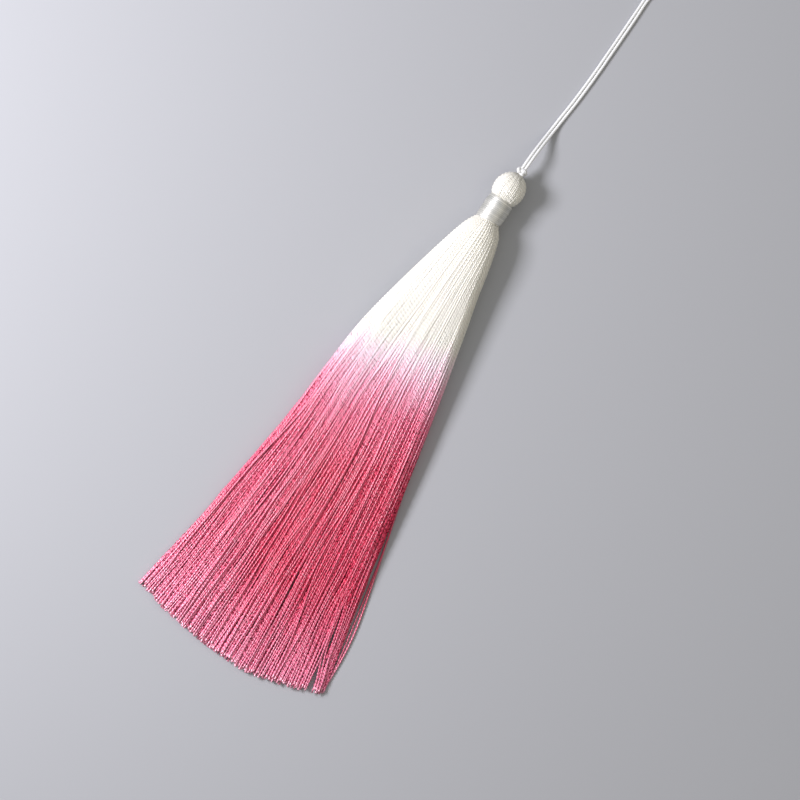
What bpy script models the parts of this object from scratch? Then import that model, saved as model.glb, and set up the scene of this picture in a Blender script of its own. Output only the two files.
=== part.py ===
"""A silk tassel lying on its side: a thread-covered head, a wound neck, a fan of strands and a looped cord.

Places on the tassel are given as (x, a, z): x to its right, a along it from the neck's foot towards the
cord, and z up from the surface it lies on. The fringe runs the other way, so its station s is -a.
"""

import math
import random
from collections import namedtuple

import bmesh
import bpy
import numpy as np
from mathutils import Matrix, Vector

MM = 0.001
GAP = 0.3 * MM
WELD = 0.01 * MM
CREASE_ANGLE = math.radians(22)
SEED = 11

# The neck's foot, measured from the middle of the outline that the tassel covers on the surface.
NECK_X = 2.15 * MM
NECK_Y = 58.4 * MM

# Head: threads drawn over a bead, standing a little askew on the fan.
HEAD_TILT = math.radians(3.8)
HEAD_FOOT_X = -0.47 * MM
AXIS_Z = 4.14 * MM
BALL_RADIUS = 4.24 * MM
BALL_HALF_LENGTH = 4.75 * MM
BALL_CENTRE = 9.8 * MM
BALL_MERIDIANS = 48
BALL_ROWS = 10
BALL_END_ANGLE = math.radians(126)
THREAD_GROOVE = 0.14 * MM

# Neck: the floss wound round the threads, whose cores meet under it.
BINDING_LENGTH = 6.7 * MM
BINDING_RADIUS = 3.56 * MM
BINDING_BORE = 2.90 * MM
BINDING_TURNS = 9
BINDING_SIDES = 36
TURN_CROWN = 0.07 * MM
CORE_RADIUS = BINDING_BORE - GAP
CORE_SPLIT = BINDING_LENGTH / 2
SHELF_RADIUS = 3.45 * MM

# Knot on top of the head.
KNOT_WIDTH = 3.0 * MM
KNOT_HEIGHT = 1.9 * MM
KNOT_DEPTH = 2.3 * MM
KNOT_WAIST = 0.20
KNOT_WAIST_REACH = 0.28
KNOT_FLAT_FOOT = 0.8
KNOT_SEGMENTS, KNOT_RINGS = 24, 12

# Cord: one length folded into a loop, its two runs side by side.
CORD_DIAMETER = 0.72 * MM
CORD_STEP = 2.0 * MM
CURVE_FINENESS = 24

# Skirt: rows of strands, one above the other, in a section that goes from round to flat.
COLUMNS = 24
ROWS = 9
ROWS_IN_LAYER = 3
STRAND = 0.42 * MM
STRAND_ROOT = 0.34 * MM
ROOT_INSET = 0.05 * MM
ROOT_LENGTH = 0.4 * MM
LAYER_HEIGHT = 0.50 * MM
SHOULDER_RIM = 11 * MM
SHOULDER_CROWN = 24 * MM
STRAND_STATIONS = (40 * MM, 58 * MM, 94 * MM)
LOOSE_STATIONS = (40 * MM, 58 * MM, 72 * MM, 84 * MM, 96 * MM, 106 * MM, 114 * MM, 121 * MM)
LONGEST_STRAND = 132.9 * MM
LONGEST_U = 0.15
LENGTH_LOSS = 2.5 * MM
TRIM_SPREAD = 0.6 * MM
WANDER = 0.10 * MM
SETTLE_START, SETTLE_END = 86 * MM, 128 * MM
EDGE_SETTLES_EARLIER = 18 * MM
STAGGER_END = 62 * MM
# Each row's sideways step in columns, so that the rows of one layer come to lie side by side.
ROW_STEP = (-1 / 3, 0, 1 / 3, -1 / 6, 1 / 6, 1 / 2, 0, 1 / 3, 2 / 3)

# A parting in the fringe near its right edge, and the strands that bow out from that edge.
PARTING_U = 0.86
PARTING_START, PARTING_END = 106 * MM, 122 * MM
PARTING_HALF_WIDTH = 0.55 * MM
LOOSE_BOW = {2: 2.3 * MM, 1: 1.3 * MM}
LOOSE_START, LOOSE_END = 66 * MM, 131 * MM
LOOSE_SETTLED = 98 * MM
LOOSE_LATENESS = 1.4

# What each piece is made of: colour in linear RGB, roughness and sheen.
Yarn = namedtuple("Yarn", "name colour roughness sheen")
IVORY_THREAD = Yarn("ivory_silk_thread", (0.88, 0.87, 0.80), 0.45, 0.4)
WHITE_FLOSS = Yarn("white_rayon_floss", (0.92, 0.92, 0.90), 0.25, 0.2)
DIP_DYED_THREAD = Yarn("dip_dyed_silk_thread", (0.80, 0.14, 0.24), 0.45, 0.4)
KNOTTED_CORD = Yarn("white_cord_knot", (0.90, 0.90, 0.87), 0.4, 0.3)
BRAIDED_CORD = Yarn("white_braided_cord", (0.90, 0.90, 0.87), 0.4, 0.3)

# The skirt's outline, one row a section, in millimetres; "square" is 0 on a round one, 1 on a flat one.
Section = namedtuple("Section", "s left right bottom top square")
SKIRT = (
    Section(2.6, -5.35, 4.50, -0.10, 8.50, 0.05),
    Section(5.2, -6.35, 5.25, -0.30, 8.90, 0.10),
    Section(10.4, -8.10, 6.40, -0.40, 8.90, 0.15),
    Section(18.2, -10.50, 7.90, -0.35, 8.30, 0.20),
    Section(26.0, -13.00, 9.30, -0.25, 7.60, 0.25),
    Section(39.0, -16.50, 11.90, -0.15, 6.60, 0.35),
    Section(52.0, -18.10, 14.10, -0.05, 5.70, 0.45),
    Section(66.0, -19.15, 16.50, 0.00, 5.10, 1.00),
    Section(91.0, -23.20, 20.00, 0.00, 4.20, 1.00),
    Section(104.0, -25.80, 21.90, 0.00, 3.60, 1.00),
    Section(132.0, -32.10, 26.30, 0.00, 2.40, 1.00),
)

# The cord's route in millimetres as (x, a, z): out of the knot, down to the surface, round the eye and back.
CORD_ROUTE = (
    (0.36, 17.05, 4.14),
    (0.54, 19.8, 4.00),
    (0.86, 23.0, 3.10),
    (1.22, 26.0, 1.85),
    (1.60, 29.0, 0.85),
    (2.06, 32.5, 0.40),
    (2.94, 39.0, 0.38),
    (3.74, 47.0, 0.38),
    (4.36, 56.0, 0.38),
    (4.92, 65.0, 0.38),
    (5.22, 71.0, 0.38),
    (4.86, 74.0, 0.38),
    (4.06, 77.2, 0.38),
    (4.24, 80.4, 0.38),
    (6.18, 82.2, 0.38),
    (8.12, 80.4, 0.38),
    (8.14, 77.2, 0.38),
    (6.92, 74.0, 0.38),
    (6.08, 71.0, 0.38),
    (5.78, 65.0, 0.38),
    (5.22, 56.0, 0.38),
    (4.60, 47.0, 0.38),
    (3.80, 39.0, 0.38),
    (2.92, 32.5, 0.40),
    (2.46, 29.0, 0.85),
    (2.08, 26.0, 1.85),
    (1.72, 23.0, 3.10),
    (1.40, 19.8, 4.00),
    (1.18, 17.05, 4.14),
)


def clear_scene():
    for item in list(bpy.data.objects):
        bpy.data.objects.remove(item, do_unlink=True)


def make_material(yarn):
    material = bpy.data.materials.new(yarn.name)
    material.use_nodes = True
    shader = material.node_tree.nodes["Principled BSDF"]
    shader.inputs["Base Color"].default_value = (*yarn.colour, 1.0)
    shader.inputs["Roughness"].default_value = yarn.roughness
    shader.inputs["Metallic"].default_value = 0.0
    shader.inputs["Sheen Weight"].default_value = yarn.sheen
    return material


def add_object(name, data, yarn, collection):
    piece = bpy.data.objects.new(name, data)
    data.materials.append(make_material(yarn))
    collection.objects.link(piece)
    return piece


def add_bmesh_object(name, bm, yarn, collection):
    """Turns a finished bmesh into an object with smooth rounds and crisp edges."""
    bmesh.ops.recalc_face_normals(bm, faces=bm.faces)
    mesh = bpy.data.meshes.new(name)
    bm.to_mesh(mesh)
    bm.free()
    mesh.shade_smooth()
    mesh.set_sharp_from_angle(angle=CREASE_ANGLE)
    return add_object(name, mesh, yarn, collection)


def head_frame():
    """The head's own frame: its Z axis runs up the head from the neck's foot."""
    turn = Matrix.Rotation(-HEAD_TILT, 4, "Z") @ Matrix.Rotation(-math.pi / 2, 4, "X")
    return Matrix.Translation((NECK_X + HEAD_FOOT_X, NECK_Y, AXIS_Z)) @ turn


def smooth_step(value, start, end):
    t = min(max((value - start) / (end - start), 0.0), 1.0)
    return t * t * (3 - 2 * t)


def head_profile():
    """(height, radius) of each ring of the head, from the top down to the end of its core."""
    rings = []
    for row in range(1, BALL_ROWS + 1):
        angle = BALL_END_ANGLE * row / BALL_ROWS
        rings.append((BALL_CENTRE + BALL_HALF_LENGTH * math.cos(angle), BALL_RADIUS * math.sin(angle)))
    shelf = rings[-1][0]
    rings.append((shelf, CORE_RADIUS))
    rings.append((CORE_SPLIT + GAP / 2, CORE_RADIUS))
    return rings


def make_head(collection):
    """The ball of folded threads: a sphere drawn ring by ring to the profile, grooved between threads."""
    rings = head_profile()
    bm = bmesh.new()
    bmesh.ops.create_uvsphere(bm, u_segments=BALL_MERIDIANS, v_segments=len(rings) + 1, radius=1.0)
    top = BALL_CENTRE + BALL_HALF_LENGTH
    for vert in bm.verts:
        polar = math.acos(min(max(vert.co.z, -1.0), 1.0))
        row = round(polar / math.pi * (len(rings) + 1))
        if row == 0:
            vert.co = Vector((0, 0, top))
        elif row == len(rings) + 1:
            vert.co = Vector((0, 0, rings[-1][0]))
        else:
            height, radius = rings[row - 1]
            around = math.atan2(vert.co.y, vert.co.x)
            meridian = round(around / math.tau * BALL_MERIDIANS)
            if meridian % 2 and 1 < row <= BALL_ROWS:
                radius -= THREAD_GROOVE
            vert.co = Vector((radius * math.cos(around), radius * math.sin(around), height))
    bmesh.ops.transform(bm, matrix=head_frame(), verts=bm.verts)
    rest_on_surface(bm)
    return add_bmesh_object("head", bm, IVORY_THREAD, collection)


def rest_on_surface(bm):
    """Presses what would go below the surface flat onto it."""
    for vert in bm.verts:
        vert.co.z = max(vert.co.z, 0.0)


def make_binding(collection):
    """The wound neck: a profile of rounded turns outside and a plain bore inside, turned about the axis."""
    pitch = BINDING_LENGTH / BINDING_TURNS
    outside = [(BINDING_RADIUS - 2 * TURN_CROWN, BINDING_LENGTH)]
    for turn in range(BINDING_TURNS):
        top = BINDING_LENGTH - turn * pitch
        outside.append((BINDING_RADIUS, top - pitch / 2))
        if turn < BINDING_TURNS - 1:
            outside.append((BINDING_RADIUS - TURN_CROWN, top - pitch))
    outside.append((BINDING_RADIUS - 2 * TURN_CROWN, 0.0))
    profile = outside + [(BINDING_BORE, 0.0), (BINDING_BORE, BINDING_LENGTH)]
    mesh = bpy.data.meshes.new("neck_binding")
    count = len(profile)
    mesh.from_pydata([(r, 0.0, h) for r, h in profile], [(i, (i + 1) % count) for i in range(count)], [])
    binding = add_object("neck_binding", mesh, WHITE_FLOSS, collection)
    binding.matrix_world = head_frame()
    screw = binding.modifiers.new("turned", "SCREW")
    screw.axis = "Z"
    screw.steps = screw.render_steps = BINDING_SIDES
    screw.use_smooth_shade = True
    screw.use_merge_vertices = True
    screw.merge_threshold = WELD
    return binding


def make_knot(collection):
    """The cord's knot: a small body with a bulge on each side, a waist between, and a seat on the head."""
    bm = bmesh.new()
    bmesh.ops.create_uvsphere(bm, u_segments=KNOT_SEGMENTS, v_segments=KNOT_RINGS, radius=1.0)
    foot = BALL_CENTRE + BALL_HALF_LENGTH + GAP
    for vert in bm.verts:
        x, y, z = vert.co
        waist = 1 - KNOT_WAIST * math.exp(-((x / KNOT_WAIST_REACH) ** 2))
        side = x * KNOT_WIDTH / 2
        depth = y * waist * KNOT_DEPTH / 2
        seat = (side * side + depth * depth) / (2 * BALL_HALF_LENGTH)
        lift = KNOT_FLAT_FOOT + max(z, -KNOT_FLAT_FOOT) * (waist if z > 0 else 1.0)
        height = foot + lift / (1 + KNOT_FLAT_FOOT) * KNOT_HEIGHT - (seat if z < 0 else 0.0)
        vert.co = Vector((side, depth, height))
    bmesh.ops.transform(bm, matrix=head_frame(), verts=bm.verts)
    return add_bmesh_object("cord_knot", bm, KNOTTED_CORD, collection)


def smooth_route(points, step):
    """Points about a step apart on a Catmull-Rom curve through the route's own points."""
    route = np.array(points)
    route = np.vstack([2 * route[0] - route[1], route, 2 * route[-1] - route[-2]])
    fine = []
    for p0, p1, p2, p3 in zip(route, route[1:], route[2:], route[3:]):
        t = np.linspace(0, 1, CURVE_FINENESS, endpoint=False)[:, None]
        curve = 2 * p1 + (p2 - p0) * t
        curve += (2 * p0 - 5 * p1 + 4 * p2 - p3) * t**2
        curve += (3 * p1 - p0 - 3 * p2 + p3) * t**3
        fine.append(curve / 2)
    fine = np.vstack(fine + [route[-2][None]])
    along = np.concatenate([[0.0], np.cumsum(np.linalg.norm(np.diff(fine, axis=0), axis=1))])
    places = np.linspace(0.0, along[-1], max(2, round(along[-1] / step)) + 1)
    return np.stack([np.interp(places, along, axis) for axis in fine.T], axis=1)


def make_cord(collection):
    """The hanging cord: a thin tube along its route, resting on the surface beyond the head."""
    route = np.array(CORD_ROUTE) * MM + (NECK_X, NECK_Y, 0.0)
    points = smooth_route(route, CORD_STEP)
    points[:, 2] = np.maximum(points[:, 2], CORD_DIAMETER / 2)
    curve = bpy.data.curves.new("hanging_cord", "CURVE")
    curve.dimensions = "3D"
    curve.bevel_depth = CORD_DIAMETER / 2
    curve.bevel_resolution = 2
    curve.use_fill_caps = True
    spline = curve.splines.new("POLY")
    spline.points.add(len(points) - 1)
    for point, place in zip(spline.points, points):
        point.co = (*place, 1.0)
    return add_object("hanging_cord", curve, BRAIDED_CORD, collection)


def section_at(s):
    """The skirt's section at station s, in metres, read between the rows of its table."""
    table = np.array(SKIRT)
    values = [np.interp(s / MM, table[:, 0], table[:, column]) for column in range(1, 6)]
    return Section(s, *(value * MM for value in values[:4]), values[4])


def place_in_skirt(u, v, s):
    """The point at u (-1 left to 1 right) and v (-1 bottom to 1 top) of the section at s."""
    section = section_at(s)
    bend = (1 - section.square) / 2
    across = u * math.sqrt(1 - bend * v * v)
    up = v * math.sqrt(1 - bend * u * u)
    x = (section.left + section.right) / 2 + across * (section.right - section.left) / 2
    z = (section.bottom + section.top) / 2 + up * (section.top - section.bottom) / 2
    return Vector((NECK_X + x, NECK_Y - s, z))


def shoulder_end(u, v):
    """Where the shoulder ends: the outer strands part from it nearer the neck than those inside."""
    outward = min(max(abs(u), abs(v)), 1.0)
    return SHOULDER_CROWN + (SHOULDER_RIM - SHOULDER_CROWN) * outward**2


def shoulder_point(u, v, groove, s):
    """A point of the shoulder's section at s, drawn in by its share of the groove between two threads."""
    point = place_in_skirt(u, v, s)
    inward = place_in_skirt(0.0, 0.0, s) - point
    return point + inward.normalized() * groove * THREAD_GROOVE


def neck_point(u, v, radius, a):
    """The point of a round ring on the head's own axis that belongs to (u, v) on the section's rim."""
    around = math.atan2(v * math.sqrt(1 - u * u / 2), u * math.sqrt(1 - v * v / 2))
    return head_frame() @ Vector((radius * math.cos(around), -radius * math.sin(around), a))


def make_shoulder(bm):
    """The skirt's gathered top: from its end, a grid of a cell a strand, back to its core in the neck."""
    bmesh.ops.create_grid(bm, x_segments=COLUMNS, y_segments=ROWS, size=1.0)
    u_of, v_of, groove_of = (bm.verts.layers.float.new(name) for name in ("u", "v", "groove"))
    column_of, row_of = (bm.faces.layers.int.new(name) for name in ("column", "row"))
    for cell in bm.faces:
        centre = cell.calc_center_median()
        cell[column_of] = int((centre.x + 1) / 2 * COLUMNS)
        cell[row_of] = int((centre.y + 1) / 2 * ROWS)
    for vert in bm.verts:
        vert[u_of], vert[v_of] = vert.co.x, vert.co.y
        number = round((vert.co.x + 1) / 2 * COLUMNS) + round((vert.co.y + 1) / 2 * ROWS)
        vert[groove_of] = float(vert.is_boundary and number % 2)
        end = shoulder_end(vert[u_of], vert[v_of])
        vert.co = shoulder_point(vert[u_of], vert[v_of], vert[groove_of], end)
    cells = list(bm.faces)
    rim = [edge for edge in bm.edges if edge.is_boundary]
    sections = [row.s * MM for row in SKIRT if row.s * MM < SHOULDER_RIM]
    for s in reversed(sections):
        rim, ring = extrude_rim(bm, rim)
        for vert in ring:
            vert.co = shoulder_point(vert[u_of], vert[v_of], vert[groove_of], s)
    for radius, a in ((SHELF_RADIUS, -GAP), (CORE_RADIUS, -GAP), (CORE_RADIUS, CORE_SPLIT - GAP / 2)):
        rim, ring = extrude_rim(bm, rim)
        for vert in ring:
            vert.co = neck_point(vert[u_of], vert[v_of], radius, a)
    bmesh.ops.contextual_create(bm, geom=rim)
    rest_on_surface(bm)
    return cells


def extrude_rim(bm, rim):
    """Extrudes the open rim once, and gives back the new rim's edges and vertices."""
    made = bmesh.ops.extrude_edge_only(bm, edges=rim)["geom"]
    edges = [item for item in made if isinstance(item, bmesh.types.BMEdge) and item.is_boundary]
    return edges, [item for item in made if isinstance(item, bmesh.types.BMVert)]


def strand_centre(column, row, s, loose=False):
    """The middle of a strand at station s. Towards the tips the rows of a layer settle side by side."""
    grown = smooth_step(s, SHOULDER_CROWN, STAGGER_END)
    u = (2 * column + 1) / COLUMNS - 1 + 2 * ROW_STEP[row] * grown / COLUMNS
    v = (2 * row + 1) / ROWS - 1
    point = place_in_skirt(u, v, s)
    opening = PARTING_HALF_WIDTH * smooth_step(s, PARTING_START, PARTING_END)
    if u > PARTING_U:
        point.x += opening * max(1 - u, 0.0) / (1 - PARTING_U)
    else:
        point.x -= opening * max(u, 0.0) / PARTING_U
    earlier = EDGE_SETTLES_EARLIER * min(u * u, 1.0)
    if loose:
        settled = smooth_step(s, LOOSE_START, LOOSE_SETTLED)
    else:
        settled = smooth_step(s, SETTLE_START - earlier, SETTLE_END - earlier)
    layer = row // ROWS_IN_LAYER
    point.z = max(point.z, STRAND / 2) * (1 - settled) + (STRAND / 2 + layer * LAYER_HEIGHT) * settled
    return point


def bow(s, size):
    """How far a loose strand stands out from the edge at station s."""
    t = min(max((s - LOOSE_START) / (LOOSE_END - LOOSE_START), 0.0), 1.0)
    return size * math.sin(math.pi * t**LOOSE_LATENESS) ** 2


def tip_station(column, row, trim):
    """Where a strand ends: all are about one length from the neck, longest a little right of the middle."""
    u = (2 * column + 1) / COLUMNS - 1
    length = LONGEST_STRAND - LENGTH_LOSS * abs(u - LONGEST_U) + trim
    x = strand_centre(column, row, length).x - NECK_X
    return math.sqrt(length * length - x * x)


def square_up(face, middle, size):
    """Moves a four-sided face to a strand's level square section, turning its corners as little as it can."""
    corners = ((-1, -1), (1, -1), (1, 1), (-1, 1))
    rings = [corners[first:] + corners[:first] for first in range(len(corners))]
    rings += [ring[::-1] for ring in rings]
    centre = face.calc_center_median()
    away = [(vert.co.x - centre.x, vert.co.z - centre.z) for vert in face.verts]
    nearest = max(rings, key=lambda ring: sum(x * dx + z * dz for (x, z), (dx, dz) in zip(ring, away)))
    for vert, (x, z) in zip(face.verts, nearest):
        vert.co = middle + Vector((x, 0.0, z)) * size / 2


def make_strands(bm, cells):
    """Draws a strand out of each cell of the shoulder's end, through its stations to its trimmed tip."""
    chance = random.Random(SEED)
    column_of, row_of = bm.faces.layers.int["column"], bm.faces.layers.int["row"]
    bmesh.ops.inset_individual(bm, faces=cells, thickness=ROOT_INSET)
    for face in cells:
        column, row = face[column_of], face[row_of]
        loose = column == COLUMNS - 1 and row in LOOSE_BOW
        stations = LOOSE_STATIONS if loose else STRAND_STATIONS
        tip = tip_station(column, row, chance.uniform(-TRIM_SPREAD, TRIM_SPREAD))
        u, v = (2 * column + 1) / COLUMNS - 1, (2 * row + 1) / ROWS - 1
        square_up(face, strand_centre(column, row, shoulder_end(u, v) + ROOT_LENGTH), STRAND_ROOT)
        for s in (*stations, tip):
            middle = strand_centre(column, row, s, loose)
            middle.x += chance.uniform(-WANDER, WANDER) * smooth_step(s, STAGGER_END, SETTLE_END)
            if loose:
                middle.x += bow(s, LOOSE_BOW[row])
            face = bmesh.ops.extrude_discrete_faces(bm, faces=[face])["faces"][0]
            square_up(face, middle, STRAND)


def make_skirt(collection):
    bm = bmesh.new()
    cells = make_shoulder(bm)
    make_strands(bm, cells)
    return add_bmesh_object("skirt", bm, DIP_DYED_THREAD, collection)


def main():
    clear_scene()
    tassel = bpy.data.collections.new("silk_tassel")
    bpy.context.scene.collection.children.link(tassel)
    make_head(tassel)
    make_binding(tassel)
    make_skirt(tassel)
    make_knot(tassel)
    make_cord(tassel)


main()
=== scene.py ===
# %% [markdown]
# # A dip-dyed silk tassel
#
# The tassel lies on its side on a pale table. From the top down it is a thin cord folded into a loop, a knot,
# a bead covered by the tassel's own folded threads, a neck wound with glossy floss, and a fringe of about
# three hundred twisted threads that are ivory at the top and were dipped in peony pink.
#
# The imported model is the frame. It says where every piece lies, so it is loaded first.

# %% The frame
import math
from functools import partial

import bpy
import numpy as np
from mathutils import Matrix, Vector


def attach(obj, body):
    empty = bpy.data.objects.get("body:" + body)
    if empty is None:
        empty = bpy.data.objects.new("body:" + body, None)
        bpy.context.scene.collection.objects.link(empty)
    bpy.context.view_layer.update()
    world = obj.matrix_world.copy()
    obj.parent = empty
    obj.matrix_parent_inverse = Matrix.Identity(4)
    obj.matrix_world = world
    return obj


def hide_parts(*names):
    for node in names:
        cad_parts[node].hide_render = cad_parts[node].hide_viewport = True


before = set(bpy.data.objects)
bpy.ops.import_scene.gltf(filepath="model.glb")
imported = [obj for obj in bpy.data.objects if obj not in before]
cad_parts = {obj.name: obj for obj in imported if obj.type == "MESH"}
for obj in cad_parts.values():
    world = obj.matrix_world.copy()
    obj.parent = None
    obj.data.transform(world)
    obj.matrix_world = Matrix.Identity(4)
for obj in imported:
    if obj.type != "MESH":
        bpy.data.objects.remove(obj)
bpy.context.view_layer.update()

print("nodes:", sorted(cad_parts))

# %% [markdown]
# ## Places on the tassel
#
# A maker measures a tassel from its neck, so all the pieces are worked out in millimetres from the neck's
# foot: x to the tassel's right, a along it towards the cord, and z up from the table. The fringe runs the
# other way, and its station s is -a. The head stands a little askew on the fringe, as a hand-tied one does.

# %% From the neck's foot to the frame
MM = 0.001
NECK_X, NECK_Y = 2.15, 58.4
HEAD_TILT = math.radians(3.8)
HEAD_FOOT_X = -0.47
AXIS_Z = 4.14
UP = np.array([0.0, 0.0, 1.0])


def from_neck(x, a, z):
    """The frame's point for a place measured from the neck's foot: the foot is added, and nothing turns."""
    return np.stack(np.broadcast_arrays(NECK_X + x, NECK_Y + a, z), axis=-1)


def from_head(across, along, up):
    """The same for the head, which leans: x = across cos t + along sin t, a = along cos t - across sin t."""
    x = across * math.cos(HEAD_TILT) + along * math.sin(HEAD_TILT)
    a = along * math.cos(HEAD_TILT) - across * math.sin(HEAD_TILT)
    return from_neck(HEAD_FOOT_X + x, a, AXIS_Z + up)


def add_object(name, data):
    """An object with this mesh, light or camera, at the origin of the scene."""
    made = bpy.data.objects.new(name, data)
    bpy.context.scene.collection.objects.link(made)
    return made


print("neck's foot in mm:", from_head(0.0, 0.0, 0.0).round(2))

# %% [markdown]
# ## The camera
#
# The tassel is seen from straight above, lying across the picture from its top right to its bottom left, so
# the camera looks down and is turned about its own axis. A long lens from 0.87 m keeps the head and the
# fringe, which rise less than 9 mm, free of perspective.

# %% Camera
PICTURE_WIDTH = 208.0
CAMERA_TURN = math.radians(30.69)
PICTURE_CENTRE = (3.72, -51.6)
LENS, SENSOR = 150.0, 36.0
NEAREST, FARTHEST = 0.01, 10.0


def add_camera():
    """Looks down from picture width x lens / sensor above the head's axis, turned about its own."""
    data = bpy.data.cameras.new("overhead_camera")
    data.lens, data.sensor_width = LENS, SENSOR
    data.clip_start, data.clip_end = NEAREST, FARTHEST
    camera = add_object("overhead_camera", data)
    height = AXIS_Z + PICTURE_WIDTH * LENS / SENSOR
    place = Vector(from_neck(*PICTURE_CENTRE, height) * MM)
    camera.matrix_world = Matrix.Translation(place) @ Matrix.Rotation(CAMERA_TURN, 4, "Z")
    bpy.context.scene.camera = camera
    return height


print("camera height in mm:", round(add_camera(), 1))

# %% [markdown]
# ## Curves and tubes as arrays
#
# Every thread, cord and coil here is a section carried along a line, and all the threads of a piece are
# worked out at once as one array: thread, ring along it, corner round it. Short helpers draw and measure
# smooth curves, set rings of corners round them, and turn the rings into a closed mesh.

# %% A curve through a few points


def ease(value, start, end):
    """0 before start and 1 after end, with 3t^2 - 2t^3 between them."""
    t = np.clip((value - start) / (end - start), 0.0, 1.0)
    return t * t * (3.0 - 2.0 * t)


def curve_through(knots, values, at):
    """Cubic Hermite: meets each value at its knot, and its slope there is the one between the neighbours."""
    slopes = np.gradient(values, knots, axis=0)
    k = np.clip(np.searchsorted(knots, at) - 1, 0, len(knots) - 2)
    width = knots[k + 1] - knots[k]
    t = ((at - knots[k]) / width)[..., None]
    width = width[..., None]
    start = (2 * t**3 - 3 * t**2 + 1) * values[k] + (t**3 - 2 * t**2 + t) * width * slopes[k]
    end = (3 * t**2 - 2 * t**3) * values[k + 1] + (t**3 - t**2) * width * slopes[k + 1]
    return start + end


def unit(vectors):
    """Each vector over its own length."""
    return vectors / np.linalg.norm(vectors, axis=-1, keepdims=True)


def arc_lengths(path):
    """How far along its line each point lies: the running sum of the steps between points."""
    steps = np.linalg.norm(np.diff(path, axis=-2), axis=-1)
    return np.concatenate([np.zeros(steps.shape[:-1] + (1,)), np.cumsum(steps, axis=-1)], axis=-1)


def evenly(path, count):
    """The same lines with count points each, set out evenly by arc length."""
    share = np.linspace(0.0, 1.0, count)
    spaced = [
        [np.interp(share * line[-1], line, axis) for axis in points.T]
        for points, line in zip(path, arc_lengths(path))
    ]
    return np.moveaxis(np.array(spaced), 1, 2)


def read_at(at, known, lines):
    """Each line's numbers, known at some places along it, read at others: straight between neighbours."""
    at, known = (np.broadcast_to(places, (len(lines), np.shape(places)[-1])) for places in (at, known))
    return np.array([np.interp(*row) for row in zip(at, known, lines)])


# %% Rings round a line


def corner_angles(sides, shape):
    """2 pi corner / sides round every ring of that shape."""
    return np.broadcast_to(2 * np.pi * np.arange(sides) / sides, (*shape, sides))


def rings_round(path, outward, angles, radii):
    """Ring corners: the line's point + radius (cos angle x side + sin angle x under), where T is the line's
    unit tangent, side = T x outward and under = T x side."""
    tangent = unit(np.gradient(path, axis=-2))
    side = unit(np.cross(tangent, outward))
    under = np.cross(tangent, side)
    turn = np.cos(angles)[..., None] * side[..., None, :] + np.sin(angles)[..., None] * under[..., None, :]
    return path[..., None, :] + radii[..., None] * turn


# %% Rings into a closed mesh
BAKE_MAP = "OFBake"
STRIP_MARGIN = 0.05
CAP_MARGIN = 0.004
# half a cap's width and height on the map, in strips and in margins
CAP_WIDE, CAP_HIGH = 0.4, 0.8


def strip_map(count, length, sides, closed):
    """Lays each tube out as an upright strip of the map, with its end caps above and below it."""
    bands = length - 1 + closed
    tube, ring, side = np.meshgrid(np.arange(count), np.arange(bands), np.arange(sides), indexing="ij")
    around = np.stack([side, side + 1, side + 1, side], axis=-1) / sides
    along = np.stack([ring, ring, ring + 1, ring + 1], axis=-1) / bands
    u = (tube[..., None] + STRIP_MARGIN + (1 - 2 * STRIP_MARGIN) * around) / count
    v = 2 * CAP_MARGIN + (1 - 4 * CAP_MARGIN) * along
    walls = np.stack([u, v], axis=-1).reshape(-1, 2)
    if closed:
        return walls
    turn = 2 * np.pi * np.arange(sides) / sides
    ends = []
    for middle, way in ((CAP_MARGIN, -1), (1 - CAP_MARGIN, 1)):
        cap_u = (np.arange(count)[:, None] + 0.5 + CAP_WIDE * np.cos(turn * way)) / count
        cap_v = np.broadcast_to(middle + CAP_HIGH * CAP_MARGIN * np.sin(turn * way), cap_u.shape)
        ends.append(np.stack([cap_u, cap_v], axis=-1).reshape(-1, 2))
    return np.concatenate([walls, *ends])


def add_tubes(name, rings, closed=False, **attributes):
    """Closed tubes from rings[tube, ring, corner]: quads between neighbours, and a cap at each end unless it
    closes on itself. Each attribute holds a number for every corner, or for every ring."""
    count, length, sides = rings.shape[:3]
    corner = np.arange(count * length * sides).reshape(count, length, sides)
    start, end = (corner, np.roll(corner, -1, axis=1)) if closed else (corner[:, :-1], corner[:, 1:])
    quads = np.stack([start, np.roll(start, -1, 2), np.roll(end, -1, 2), end], axis=-1).reshape(-1, 4)
    caps = np.zeros((0, sides), int) if closed else np.concatenate([corner[:, 0, ::-1], corner[:, -1]])
    sizes = np.concatenate([np.full(len(quads), 4), np.full(len(caps), sides)])
    mesh = bpy.data.meshes.new(name)
    mesh.vertices.add(corner.size)
    mesh.vertices.foreach_set("co", (rings * MM).astype(np.float32).ravel())
    mesh.loops.add(int(sizes.sum()))
    mesh.loops.foreach_set("vertex_index", np.append(quads, caps).astype(np.int32))
    mesh.polygons.add(len(sizes))
    mesh.polygons.foreach_set("loop_start", (np.cumsum(sizes) - sizes).astype(np.int32))
    mesh.update(calc_edges=True)
    mesh.shade_smooth()
    strips = strip_map(count, length, sides, closed)
    mesh.uv_layers.new(name=BAKE_MAP).data.foreach_set("uv", strips.astype(np.float32).ravel())
    for label, values in attributes.items():
        if values.ndim == 2:
            values = np.repeat(values[..., None], sides, axis=2)
        kept = mesh.attributes.new(label, "FLOAT", "POINT")
        kept.data.foreach_set("value", values.astype(np.float32).ravel())
    print(f"{name}: {count} tubes, {2 * len(quads) + len(caps) * (sides - 2)} triangles")
    return add_object(name, mesh)


# %% [markdown]
# ## The hanging cord
#
# One thin cord, three quarters of a millimetre across, is folded in two. Its ends go into the knot on the
# bead, and its two runs lie side by side on the table up to a small eye just outside the picture. The cord
# comes first because it is measured: its route is the list of points that a hand would lay it along, and its
# length follows from them. Its surface is a fine three-strand twist, pressed nearly smooth.

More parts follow.
